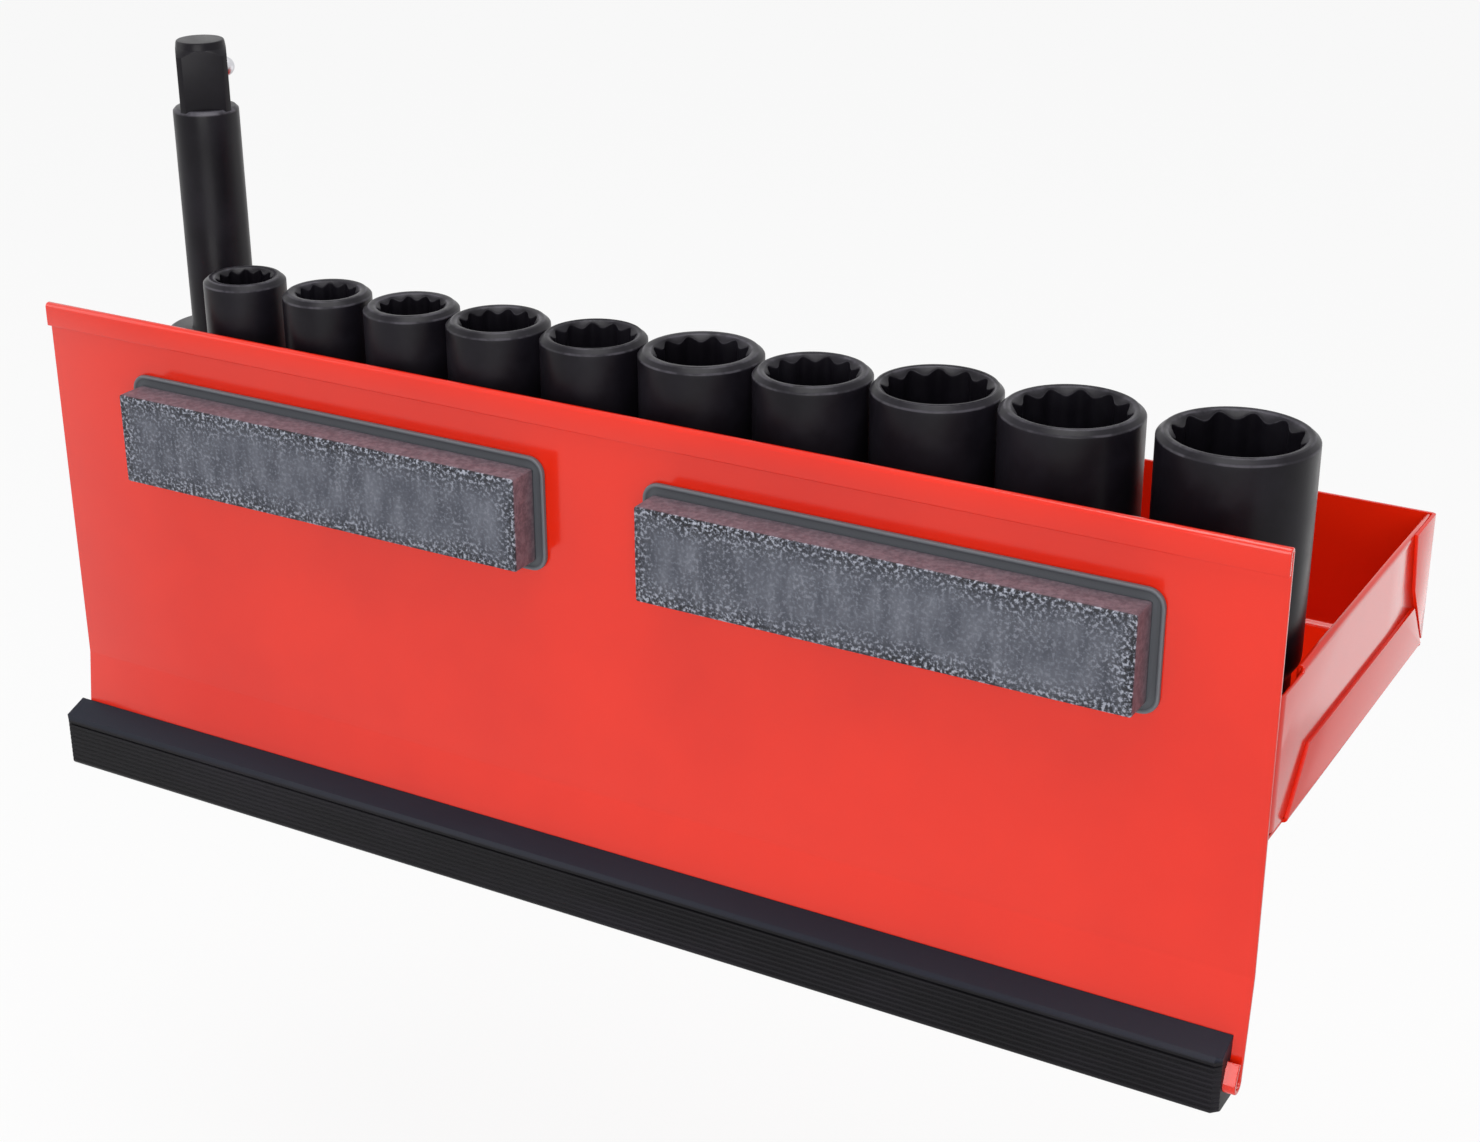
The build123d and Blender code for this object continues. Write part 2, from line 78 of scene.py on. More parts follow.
# ---- shader maths: a socket that adds its nodes when it is used in an expression
class Signal:
    def __init__(self, shader, socket):
        self.shader, self.socket = shader, socket

    def math(self, operation, *others, clamp=False):
        return self.shader.node("ShaderNodeMath", {"operation": operation, "use_clamp": clamp},
                                dict(enumerate((self, *others))))

    def __add__(self, other): return self.math("ADD", other)
    def __sub__(self, other): return self.math("SUBTRACT", other)
    def __mul__(self, other): return self.math("MULTIPLY", other)
    def __rsub__(self, other): return self.math("MULTIPLY", -1.0) + other
    __radd__, __rmul__ = __add__, __mul__

    def step(self, low, high):  # 0 below low, 1 above high
        return self.shader.node("ShaderNodeMapRange", {"interpolation_type": "SMOOTHSTEP"},
                                {"Value": self, "From Min": low, "From Max": high})

    def atLeast(self, other): return self.math("MAXIMUM", other)
    def atMost(self, other): return self.math("MINIMUM", other)


class Shader:
    def __init__(self, name):
        self.material = bpy.data.materials.new(name)
        self.material.use_nodes = True
        self.tree = self.material.node_tree
        self.surface = next(n for n in self.tree.nodes if n.type == "BSDF_PRINCIPLED")
        self.output = next(n for n in self.tree.nodes if n.type == "OUTPUT_MATERIAL")

    def node(self, kind, settings=None, inputs=None, output=0):
        made = self.tree.nodes.new(kind)
        for key, value in (settings or {}).items():
            setattr(made, key, value)
        for key, value in (inputs or {}).items():
            self.feed(made.inputs[key], value)
        return Signal(self, made.outputs[output])

    def feed(self, target, value):
        if isinstance(value, Signal):
            self.tree.links.new(value.socket, target)
        else:
            target.default_value = value

    def set(self, **values):
        for key, value in values.items():
            self.feed(self.surface.inputs[key.replace("_", " ")], value)

    def place(self, stretch=(1, 1, 1)):
        coordinates = self.node("ShaderNodeTexCoord", output="Object")
        return self.node("ShaderNodeMapping", None, {"Vector": coordinates, "Scale": stretch})

    def noise(self, scale, detail=2.0, roughness=0.5, stretch=(1, 1, 1)):
        return self.node("ShaderNodeTexNoise", None, {"Vector": self.place(stretch), "Scale": scale,
                                                      "Detail": detail, "Roughness": roughness})

    def mix(self, factor, first, second):
        made = self.tree.nodes.new("ShaderNodeMix")
        made.data_type = "RGBA"
        for key, value in ((0, factor), (6, first), (7, second)):
            self.feed(made.inputs[key], value)
        return Signal(self, made.outputs[2])

    def along(self, axis):  # the point's X, Y or Z in the shared frame, in metres
        return self.node("ShaderNodeSeparateXYZ", None, {0: self.place()}, output=axis)

    def painted(self, name):
        return self.node("ShaderNodeAttribute", {"attribute_name": name, "attribute_type": "GEOMETRY"},
                         output="Fac")

    def bump(self, height, strength, distance):
        return self.node("ShaderNodeBump", None, {"Height": height, "Strength": strength,
                                                  "Distance": distance})


def colour(red, green, blue):  # written as sRGB, 0 to 255
    def linear(level):
        level /= 255
        return level / 12.92 if level <= 0.04045 else ((level + 0.055) / 1.055) ** 2.4
    return (linear(red), linear(green), linear(blue), 1)


# ---- finishes
def powderRed():
    look = {"base": (224, 37, 8), "shade": (214, 31, 6), "peelScale": 500, "peelDepth": 0.00001}
    shader = Shader("powderRed")
    drift = shader.noise(14, 3, 0.55).step(0.35, 0.7)
    shader.set(Base_Color=shader.mix(drift, colour(*look["base"]), colour(*look["shade"])),
               Roughness=shader.noise(90, 2) * 0.08 + 0.10, IOR=1.5,
               Normal=shader.bump(shader.noise(look["peelScale"], 1), 0.15, look["peelDepth"]))
    return shader.material


def blackPhosphate():
    look = {"body": (18, 16, 21), "mottle": (25, 23, 29), "wornAndHighlight": (112, 109, 118)}
    shader = Shader("blackPhosphate")
    cloud = shader.noise(55, 4, 0.6).step(0.38, 0.66)
    grain = shader.noise(1500, 2, 0.6)
    chips = shader.noise(150, 3, 0.6).step(0.42, 0.60)
    # this layer holds rubbed edge wear on the sockets and bar, and on the tang's upward faces also a
    # painted highlight
    wearAndHighlight = shader.painted("wearAndHighlight") * (grain * 0.2 + chips * 0.6 + 0.1)
    body = shader.mix(cloud, colour(*look["body"]), colour(*look["mottle"]))
    shader.set(Base_Color=shader.mix(wearAndHighlight.atMost(1.0), body, colour(*look["wornAndHighlight"])),
               Specular_IOR_Level=0.15, Roughness=cloud * 0.10 + grain * 0.08 + 0.27,
               Normal=shader.bump(grain, 0.18, 0.00003))
    return shader.material


def satinRubber():
    look = {"body": (20, 19, 22), "bloom": (30, 28, 33), "slope": (34, 38, 50)}
    shader = Shader("satinRubber")
    bloom = shader.noise(60, 4, 0.6, (0.25, 1, 1)).step(0.42, 0.72)
    pores = shader.noise(2200, 2, 0.6)
    body = shader.mix(bloom, colour(*look["body"]), colour(*look["bloom"]))
    # painted sheen: above this height the upward-facing slope gets the lighter, bluer slope colour, a
    # painted reflection of the light from above
    smooth = shader.along(2).step(0.0058, 0.0064) * 0.7
    shader.set(Base_Color=shader.mix(smooth, body, colour(*look["slope"])),
               Specular_IOR_Level=0.14, Roughness=bloom * 0.12 + 0.42,
               Normal=shader.bump(pores, 0.2, 0.00004))
    return shader.material


def speckledGrey():
    look = {
        "body": (74, 77, 87), "dark": (20, 20, 25), "light": (176, 180, 192),
        "side": (92, 80, 88), "sideLight": (120, 106, 114),
        "flange": (56, 58, 63), "flangeHighlight": (104, 108, 113),
    }
    shader = Shader("speckledGrey")
    patches = shader.noise(40, 3, 0.6) - 0.5
    edge = (shader.painted("edge") + patches * 1.5).atLeast(0.0).atMost(1.0)
    crumbs = shader.noise(1150, 2, 0.6)
    streaks = shader.noise(260, 2, 0.5, (1, 1, 0.35))
    face = shader.mix((streaks - 0.5) * 0.5 + 0.07, colour(*look["body"]), colour(*look["light"]))
    face = shader.mix(crumbs.step(0.53, 0.45) * (edge * 0.86 + 0.14), face, colour(*look["dark"]))
    face = shader.mix(crumbs.step(0.54, 0.62) * (edge * 0.66 + 0.10), face, colour(*look["light"]))
    fine = shader.noise(700, 3, 0.7)
    side = shader.mix(fine.step(0.35, 0.68), colour(*look["side"]), colour(*look["sideLight"]))
    # rim layer: a painted highlight along the flange's outer rim and painted shade in the channel beside
    # the block
    rim = shader.painted("rim").atMost(1.0)
    skirt = shader.mix(rim, colour(*look["flange"]), colour(*look["flangeHighlight"]))
    front = shader.along(1).step(-0.0007, -0.0002)  # 1 on the contact face
    low = shader.along(1).step(-0.0076, -0.0082)  # 1 on the flange
    shader.set(Base_Color=shader.mix(front, shader.mix(low, side, skirt), face),
               Specular_IOR_Level=0.3, Roughness=crumbs * 0.2 + 0.42,
               Normal=shader.bump(crumbs * (edge * 0.7 + 0.3) + fine * 0.4, 0.3, 0.0001))
    return shader.material


def brightSteel():
    shader = Shader("brightSteel")
    shader.set(Base_Color=colour(206, 206, 210), Metallic=1.0,
               Roughness=shader.noise(900, 2) * 0.10 + 0.30)
    return shader.material


def plainMetal(name, tone, rough, metallic=1.0):
    shader = Shader(name)
    haze = shader.noise(300, 3, 0.6)
    darker = tuple(level * 0.8 for level in tone)
    shader.set(Base_Color=shader.mix(haze.step(0.35, 0.7), colour(*tone), colour(*darker)),
               Metallic=metallic, Roughness=haze * 0.2 + rough,
               Normal=shader.bump(haze, 0.1, 0.00003))
    return shader.material


finishes = {
    "red_paint": powderRed(),
    "black_rubber": satinRubber(),
    "grey_plastic": speckledGrey(),
    "black_steel": blackPhosphate(),
    "bright_steel": brightSteel(),
    "zinc_steel": plainMetal("zincPlate", (186, 188, 190), 0.25),
    "ferrite": plainMetal("ferrite", (62, 62, 66), 0.55, 0.0),
    "rivet_aluminium": plainMetal("rivetAluminium", (196, 197, 200), 0.28),
    "spring_steel": plainMetal("springSteel", (170, 170, 174), 0.25),
}
for entry in frame["record"]["subparts"]:
    slots = nodes[entry["node"]].data.materials
    slots.clear()
    slots.append(finishes[entry["material_slot"]])
print("finishes made")


# ---- making a piece from a bmesh
def finishPiece(name, shape, slotName, body, replaced, smoothBelow=28.0):
    bmesh.ops.recalc_face_normals(shape, faces=shape.faces[:])
    bmesh.ops.scale(shape, vec=(mm, mm, mm), verts=shape.verts[:])
    for face in shape.faces:
        face.smooth = True
    mesh = bpy.data.meshes.new(name)
    shape.to_mesh(mesh)
    shape.free()
    mesh.set_sharp_from_angle(angle=radians(smoothBelow))
    mesh.materials.append(finishes[slotName])
    piece = bpy.data.objects.new(name, mesh)
    bpy.context.scene.collection.objects.link(piece)
    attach(piece, body)
    if replaced:
        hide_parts(*replaced)
    return piece


def giveSheet(piece, thickness, edge):
    solid = piece.modifiers.new("sheet", "SOLIDIFY")
    solid.thickness, solid.offset = thickness * mm, 0.0
    softenEdges(piece, edge)


def softenEdges(piece, width, segments=2, angle=35.0):
    soft = piece.modifiers.new("edges", "BEVEL")
    soft.width, soft.segments = width * mm, segments
    soft.limit_method, soft.angle_limit = "ANGLE", radians(angle)


def isAt(value, goal):
    return abs(value - goal) < slack


def edgesWhere(shape, test):  # the edges with both ends where the test holds
    return [edge for edge in shape.edges if all(test(vert) for vert in edge.verts)]


# a sheet that grows from one edge: straight runs and bends about the axis that it is folded along
class Fold:
    def __init__(self, shape, edges, centre, axis, heading):
        self.shape, self.edges = shape, edges
        self.centre, self.axis, self.heading = Vector(centre), Vector(axis), Vector(heading)

    @classmethod
    def start(cls, shape, stations, centre, axis, heading):
        verts = [shape.verts.new(Vector(centre) + Vector(axis) * station) for station in stations]
        edges = [shape.edges.new(pair) for pair in zip(verts, verts[1:])]
        return cls(shape, edges, centre, axis, heading)

    def run(self, length, parts=1):
        for _ in range(parts):
            made = bmesh.ops.extrude_edge_only(self.shape, edges=self.edges)["geom"]
            verts = [item for item in made if isinstance(item, bmesh.types.BMVert)]
            bmesh.ops.translate(self.shape, vec=self.heading * (length / parts), verts=verts)
            self.edges = [item for item in made if isinstance(item, bmesh.types.BMEdge)
                          and all(v in verts for v in item.verts)]
            self.centre += self.heading * (length / parts)
        return self

    def bend(self, radius, degrees, steps):
        turn = radians(degrees)
        side = self.axis.cross(self.heading) * (1 if degrees > 0 else -1)
        hub = self.centre + side * radius
        before = set(self.shape.verts)
        bmesh.ops.spin(self.shape, geom=self.edges, cent=hub, axis=self.axis, angle=turn, steps=steps)
        spun = Matrix.Rotation(turn, 3, self.axis)
        self.heading = spun @ self.heading
        self.centre = hub + spun @ (self.centre - hub)
        across = self.heading.cross(self.axis)
        last = [v for v in set(self.shape.verts) - before
                if abs((v.co - self.centre).dot(self.heading)) < weldReach
                and abs((v.co - self.centre).dot(across)) < weldReach]
        self.edges = edgesWhere(self.shape, lambda v: v in last)
        return self


# ---- mounting panel
panel = {
    "top": 120.8, "hemHeight": 6.0, "hemGap": 0.3, "bendDrop": 97.9, "bendRadius": 4.0,
    "lean": 7.2995, "beadDrop": 124.0, "beadRadius": 1.8, "beadTurn": 196.7, "beadLeg": 4.6, "edge": 0.22,
}


def makePanel():
    sheet, half = tray["panelSheet"], tray["halfLength"]
    shape = bmesh.new()
    hemY = tray["panelFront"] + panel["hemGap"] + sheet / 2
    fold = (panel["hemGap"] + sheet) / 2
    foldZ = panel["top"] - sheet / 2 - fold
    bendZ = panel["top"] - panel["bendDrop"]
    beadZ = panel["top"] - panel["beadDrop"] + panel["beadRadius"] + sheet / 2
    lean = radians(panel["lean"])
    bite = panel["bendRadius"] * sin(lean / 2) / cos(lean / 2)
    straight = foldZ - bendZ - bite
    slope = (bendZ - beadZ + panel["beadRadius"] * sin(lean)) / cos(lean) - bite
    sheetLine = Fold.start(shape, [half - i * half / 4 for i in range(9)],
                           (0, hemY, panel["top"] - panel["hemHeight"]), xAxis, zAxis)
    sheetLine.run(foldZ - panel["top"] + panel["hemHeight"]).bend(fold, 180, 10)
    sheetLine.run(straight).bend(panel["bendRadius"], panel["lean"], 5)
    sheetLine.run(slope).bend(panel["beadRadius"], panel["beadTurn"], 16).run(panel["beadLeg"])
    bmesh.ops.remove_doubles(shape, verts=shape.verts[:], dist=weldReach)
    piece = finishPiece("mountingPanel", shape, "red_paint", "tray", ["mounting_panel"])
    giveSheet(piece, sheet, panel["edge"])


makePanel()
print("panel made")

# ---- tray: the wrap with its two corners, and the pan with its lapped flaps
wrap = {
    "bend": 3.0, "edge": 0.18, "hemHeight": 5.0, "hemGap": 0.1, "notchLength": 14.5, "notchDepth": 1.6,
    "gap": 0.5,  # above the floor, and to the far wall
}
pan = {
    "bend": 1.2, "flapBend": 0.8, "edge": 0.18, "nearGap": 0.1,
    "skirt": 12.0, "skirtInset": 14.0, "skirtSlit": 0.4,
    "floorFlap": 14.0, "flapStart": 9.8, "flapSlant": 10.8, "flapEnd": 108.0, "flapEndSlant": 9.5,
    "cornerFlap": 15.6, "cornerLean": 3.1, "cornerStraight": 15.1, "cornerHeight": 31.6,
}


def makeWrap():
    half, sheet = tray["halfLength"], tray["sheet"]
    low, high = floorTop + wrap["gap"], tray["wallTop"] - wrap["notchDepth"]
    shape = bmesh.new()
    sideX, nearY, farY = half - sheet / 2, panelRear - sheet / 2, farInner + wrap["gap"]
    tall = high - low
    line = Fold.start(shape, [tall / 2, 0, -tall / 2], (sideX, farY, low + tall / 2), zAxis, yAxis)
    hemStart = panelRear - wrap["notchLength"]
    hemRun, nearRun = hemStart - farY, nearY - wrap["bend"] - hemStart
    line.run(hemRun, 3).run(nearRun).bend(wrap["bend"], 90, 9)
    line.run(2 * (sideX - wrap["bend"]), 4).bend(wrap["bend"], 90, 9).run(nearRun).run(hemRun, 3)
    spread = sheet + wrap["hemGap"]
    foldZ = tray["wallTop"] - sheet / 2 - spread / 2
    for sign in (1, -1):
        topEdges = edgesWhere(shape, lambda v: isAt(v.co.x, sign * sideX) and isAt(v.co.z, high)
                              and v.co.y < hemStart + slack)
        hem = Fold(shape, topEdges, (sign * sideX, farY + hemRun / 2, high), yAxis, zAxis)
        hem.run(foldZ - high).bend(spread / 2, -180 * sign, 10)
        hem.run(foldZ - tray["wallTop"] + wrap["hemHeight"])
    bmesh.ops.remove_doubles(shape, verts=shape.verts[:], dist=weldReach)
    piece = finishPiece("trayWrap", shape, "red_paint", "tray", ["tray_wrap"])
    giveSheet(piece, sheet, wrap["edge"])


def makePan():
    half, sheet = tray["halfLength"], tray["sheet"]
    middle = tray["floorBottom"] + sheet / 2
    farMiddle = tray["farOuter"] + sheet / 2
    skirtY = panelRear - sheet / 2
    side = half + sheet / 2 - pan["flapBend"]
    shape = bmesh.new()
    inner = half - pan["skirtInset"]
    slit = inner + pan["skirtSlit"]
    main = Fold.start(shape, [side, slit, inner, 0, -inner, -slit, -side],
                      (0, skirtY - pan["bend"], middle), xAxis, -yAxis)
    nearCorners = [v for edge in (main.edges[0], main.edges[-1]) for v in edge.verts]
    skirt = Fold(shape, main.edges[2:4], main.centre, xAxis, yAxis)
    skirt.bend(pan["bend"], -90, 6).run(middle - pan["bend"] - tray["floorBottom"] + pan["skirt"])
    flapFront, flapBack = panelRear - pan["flapStart"], panelRear - pan["flapEnd"]
    rows = [main.centre.y, flapFront, flapBack, farMiddle + pan["bend"]]
    for start, end in zip(rows, rows[1:]):
        main.run(start - end)
    main.bend(pan["bend"], -90, 6)
    cornerLow = tray["wallTop"] - pan["cornerHeight"]
    cornerMid = tray["wallTop"] - pan["cornerStraight"]
    for level in (cornerLow, cornerMid, tray["wallTop"]):
        main.run(level - main.centre.z)
    flapMiddle = (flapFront + flapBack) / 2
    for sign in (1, -1):
        floorEdges = edgesWhere(shape, lambda v: isAt(v.co.x, sign * side) and isAt(v.co.z, middle)
                                and flapBack - slack < v.co.y < flapFront + slack)
        flap = Fold(shape, floorEdges, (sign * side, flapMiddle, middle), yAxis, xAxis * sign)
        flap.bend(pan["flapBend"], -90 * sign, 6).run(pan["floorFlap"] - sheet / 2 - pan["flapBend"])
        for edge in flap.edges:  # the corner that two edges share moves twice, so that no sliver is left
            for vert in edge.verts:
                vert.co.y += -pan["flapSlant"] if vert.co.y > flapMiddle else pan["flapEndSlant"]
        wallEdges = edgesWhere(shape, lambda v: isAt(v.co.x, sign * side) and isAt(v.co.y, farMiddle)
                               and v.co.z > cornerLow - slack)
        flap = Fold(shape, wallEdges, (sign * side, farMiddle, (cornerLow + tray["wallTop"]) / 2),
                    zAxis, xAxis * sign)
        flap.bend(pan["flapBend"], 90 * sign, 6).run(pan["cornerFlap"] - sheet / 2 - pan["flapBend"])
        for vert in {v for e in flap.edges for v in e.verts}:
            if isAt(vert.co.z, cornerMid):
                vert.co.y -= pan["cornerLean"]
            elif isAt(vert.co.z, cornerLow):
                vert.co.y -= pan["cornerFlap"] - sheet - pan["flapBend"]
    for vert in nearCorners:  # beside the skirt the floor runs on under the wall
        vert.co.y = panelRear - pan["nearGap"]
    bmesh.ops.remove_doubles(shape, verts=shape.verts[:], dist=weldReach)
    piece = finishPiece("trayPan", shape, "red_paint", "tray", ["tray_pan"])
    giveSheet(piece, sheet, pan["edge"])


makeWrap()
makePan()
print("tray made")

# ---- bumper strip: the ribbed section, extruded along the panel
strip = {
    "shift": 2.7, "top": 9.3, "shoulder": (-1.1, 6.9), "faceTop": 6.0, "bottom": -7.0, "heel": -9.3,
    "legTop": 1.6, "legEnd": -1.0, "grip": 0.65,
    "slot": [(-4.9, -3.3), (-3.0, -1.0), (-3.6, 3.2)], "slotTop": 3.4,
    "corner": 1.4, "faceDepth": 0.7, "ribs": 8, "spacing": 1.3, "drop": 0.1, "groove": 0.56, "depth": 0.5,
    "shallow": 0.38,  # the grooves below the first, as a share of its depth
}


def besidePanel(z, offset):  # y at this distance from the leaning sheet's middle
    lean = radians(panel["lean"])
    bendZ = panel["top"] - panel["bendDrop"]
    middle = tray["panelFront"] - tray["panelSheet"] / 2
    return middle + (bendZ - z) * sin(lean) / cos(lean) + offset / cos(lean)


def makeStrip():
    shape = bmesh.new()
    grooves = []
    for i in range(strip["ribs"] + 1):
        level = (strip["ribs"] / 2 - i) * strip["spacing"] - strip["drop"]
        width, depth = strip["groove"] / 2, strip["depth"] * (1.0 if i == 0 else strip["shallow"])
        grooves += [(0, level + width), (-depth * 0.8, level + width * 0.6), (-depth, level),
                    (-depth * 0.8, level - width * 0.6), (0, level - width)]
    grip, legTop, legEnd, slotTop = (strip[key] for key in ("grip", "legTop", "legEnd", "slotTop"))
    section = [(besidePanel(strip["top"], grip), strip["top"]), strip["shoulder"], (0, strip["faceTop"])]
    section += grooves
    section += [(0, strip["bottom"]), (strip["heel"], strip["bottom"]), (strip["heel"], legTop),
                (besidePanel(legTop, -grip), legTop), (besidePanel(legEnd, -grip), legEnd),
                *strip["slot"], (besidePanel(slotTop, grip), slotTop)]
    left = strip["shift"] - tray["halfLength"]
    right, corner = left + 2 * tray["halfLength"], strip["corner"]
    layer = shape.verts.layers.float.new("front")  # 1 on the ribbed face, which is cut back at both ends
    verts = []
    for y, z in section:
        front = float(y > -strip["faceDepth"])
        verts.append(shape.verts.new((left, y - corner * front, z)))
        verts[-1][layer] = front
    face = shape.faces.new(verts)
    for x, forward in ((left + corner, corner), (right - corner, 0), (right, -corner)):
        pushed = bmesh.ops.extrude_face_region(shape, geom=[face])["geom"]
        verts = [item for item in pushed if isinstance(item, bmesh.types.BMVert)]
        face = next(item for item in pushed if isinstance(item, bmesh.types.BMFace))
        for vert in verts:
            vert.co.x = x
            vert.co.y += forward * vert[layer]
    bottomEdge = edgesWhere(shape, lambda v: isAt(v.co.z, strip["bottom"]) and v[layer] > 0.5)
    bmesh.ops.bevel(shape, geom=bottomEdge, offset=corner * 0.8, offset_type="OFFSET", segments=5,
                    profile=0.5, affect="EDGES", material=-1)
    piece = finishPiece("bumperStrip", shape, "black_rubber", "tray", ["bumper_strip"], 40)
    softenEdges(piece, 0.16, 2, 30)


makeStrip()
print("bumper made")

# ---- magnet covers
cover = {
    "length": 117.8, "height": 22.8, "level": 92.4, "centres": {"left": -76.2, "right": 73.8},
    "flange": 2.7, "flangeThickness": 1.2, "flangeCorner": 4.0, "edge": 0.55, "backGap": 0.3,
    "rimSteps": [(0.5, 0.9, 0.0), (0.5, 0.12, -0.25), (0.9, 0.3, 0.1)],  # inwards, painted light (painted highlight on the outer rim, painted shade in the channel), forwards
    "faceInsets": (0.7, 2.0, 3.4), "faceDepth": 0.8, "grainReach": 5.5,
}


def makeCover(side, centre):
    shape = bmesh.new()
    layer = shape.verts.layers.float.new("edge")
    width, tall = cover["length"] / 2, cover["height"] / 2
    rim = shape.verts.layers.float.new("rim")

    flange = bmesh.ops.create_cube(shape, size=1.0)["verts"]
    depth = cover["flangeThickness"]
    flangeSize = (2 * (width + cover["flange"]), depth, 2 * (tall + cover["flange"]))
    flangeMiddle = (centre, tray["panelFront"] + depth / 2, cover["level"])
    bmesh.ops.scale(shape, vec=flangeSize, verts=flange)
    bmesh.ops.translate(shape, vec=flangeMiddle, verts=flange)
    standing = [e for e in shape.edges if abs(e.verts[0].co.x - e.verts[1].co.x) < 1e-6
                and abs(e.verts[0].co.z - e.verts[1].co.z) < 1e-6]
    bmesh.ops.bevel(shape, geom=standing, offset=cover["flangeCorner"], offset_type="OFFSET", segments=8,
                    profile=0.5, affect="EDGES", material=-1)
    front = max(shape.faces, key=lambda face: face.calc_center_median().y)
    # the rim layer paints light and shade: a painted highlight on the outer rim, painted shade in the
    # channel, a middle tone inside it
    for vert in shape.verts:
        vert[rim] = cover["rimSteps"][0][1]
    for inwards, paintedLight, forwards in cover["rimSteps"]:
        bmesh.ops.inset_region(shape, faces=[front], thickness=inwards, use_even_offset=True)
        for vert in front.verts:
            vert[rim] = paintedLight
            vert.co.y += forwards

    block = bmesh.ops.create_cube(shape, size=1.0)["verts"]
    rise = -tray["panelFront"] - cover["backGap"]
    bmesh.ops.scale(shape, vec=(2 * width, rise, 2 * tall), verts=block)
    bmesh.ops.translate(shape, vec=(centre, -rise / 2, cover["level"]), verts=block)
    blockEdges = [e for e in shape.edges if e.verts[0] in block and e.verts[1] in block]
    bmesh.ops.bevel(shape, geom=blockEdges, offset=cover["edge"], offset_type="OFFSET", segments=3,
                    profile=0.5, affect="EDGES", material=-1)
    faceFront = [f for f in shape.faces if f.calc_center_median().y > -weldReach]
    for thickness in cover["faceInsets"]:
        bmesh.ops.inset_region(shape, faces=faceFront, thickness=thickness, use_even_offset=True)
    for vert in shape.verts:  # the grain is strongest along the contact face's edges
        fromEdge = min(width - abs(vert.co.x - centre), tall - abs(vert.co.z - cover["level"]))
        onFace = vert.co.y > -cover["faceDepth"]
        vert[layer] = max(0.0, 1 - fromEdge / cover["grainReach"]) if onFace else 0.0
    piece = finishPiece(f"magnetCover.{side}", shape, "grey_plastic", "tray",
                        [f"magnet_cover_{side}"], 25)
    softenEdges(piece, 0.25, 2, 40)


for side, centre in cover["centres"].items():
    makeCover(side, centre)
print("magnets made")


# ---- turned pieces: rings pulled up one after another from one circle
def roundRing(radius):
    return lambda angle: radius


def pointRing(flats):  # twelve points, with a rounded land between each two
    outer, inner = flats * 0.5774 + 0.12, flats * 0.526

    def radius(angle):
        off = abs((angle + pi / 12) % (pi / 6) - pi / 12) * 12 / pi  # 0 at a point, 1 at a land
        return inner + (outer - inner) * ((1 + cos(pi * off)) / 2) ** 1.15
    return radius


def squareRing(half, corner):
    def radius(angle):
        off = abs((angle + pi / 4) % (pi / 2) - pi / 4)
        flat = half / cos(off)
        hub = (half - corner) * sqrt(2)
        lean = pi / 4 - off
        rounded = hub * cos(lean) + sqrt(max(corner ** 2 - (hub * sin(lean)) ** 2, 0))
        return min(flat, rounded)
    return radius


def blendRing(first, second, share):
    return lambda angle: first(angle) * (1 - share) + second(angle) * share


def pullRings(name, foot, turn, rings, segments, slotName, body, replaced):
    shape = bmesh.new()
    layer = shape.verts.layers.float.new("wearAndHighlight")
    current = bmesh.ops.create_circle(shape, cap_ends=False, radius=1.0, segments=segments)["verts"]
    angles = [2 * pi * i / segments for i in range(segments)]

    def setRing(verts, ring):
        level, radius, wearAndHighlight = ring
        for vert, angle in zip(verts, angles):
            away = radius(angle)
            high = level(angle) if callable(level) else level
            vert.co = Vector(foot) + Vector((cos(angle + turn) * away, sin(angle + turn) * away, high))
            vert[layer] = wearAndHighlight

    setRing(current, rings[0])
    for ring in rings[1:]:
        edges = [shape.edges.get((current[i], current[(i + 1) % segments])) for i in range(segments)]
        bmesh.ops.extrude_edge_only(shape, edges=edges)
        following = {}
        for vert in current:
            for edge in vert.link_edges:
                other = edge.other_vert(vert)
                if other not in current and len(other.link_faces) == 2:
                    following[vert] = other
        current = [following[vert] for vert in current]
        setRing(current, ring)
    bmesh.ops.remove_doubles(shape, verts=shape.verts[:], dist=1e-5)
    return finishPiece(name, shape, slotName, body, replaced, 32.0)


# ---- the foot of sockets and bar: drive square, chamfered rim and the groove for a retaining ring
drive = {
    "half": 6.5, "corner": 0.6, "depth": 17.0, "lead": 1.9, "leadDepth": 0.5,
    "grooveLow": 6.4, "grooveHigh": 9.6, "grooveDepth": 1.5, "grooveLip": 0.15,
    # above the foot, in from the outside, wear
    "chamfer": [(0.0, 1.1, 0.2), (0.12, 0.72, 0.7), (0.72, 0.12, 0.7), (1.1, 0.0, 0.1)],
}
driveSquare = squareRing(drive["half"], drive["corner"])


def leadRing(share):  # the square, opened towards a circle
    return blendRing(driveSquare, roundRing(drive["half"] + drive["lead"]), share)


def footRings(end):  # from the square's mouth round the rim and over the groove
    low, high, lip = drive["grooveLow"], drive["grooveHigh"], drive["grooveLip"]
    floor = end - drive["grooveDepth"]
    return [
        (drive["leadDepth"], leadRing(0.12), 0.2), (0.0, leadRing(0.35), 0.3),
        *[(up, roundRing(end - inwards), wearAndHighlight) for up, inwards, wearAndHighlight in drive["chamfer"]],
        (low - 2 * lip, roundRing(end), 0.0), (low - lip, roundRing(end - lip), 0.5),
        (low, roundRing(floor), 0.0), (high, roundRing(floor), 0.0),
        (high + lip, roundRing(end - lip), 0.5), (high + 2 * lip, roundRing(end), 0.0),
    ]


def boreRings(hole):  # down the drive square, from the hole at its end to its mouth
    return [
        (drive["depth"], blendRing(hole, driveSquare, 0.9), 0.0),
        (drive["depth"] - 0.3, driveSquare, 0.0), (1.2, driveSquare, 0.0),
        (drive["leadDepth"], leadRing(0.12), 0.2),
    ]


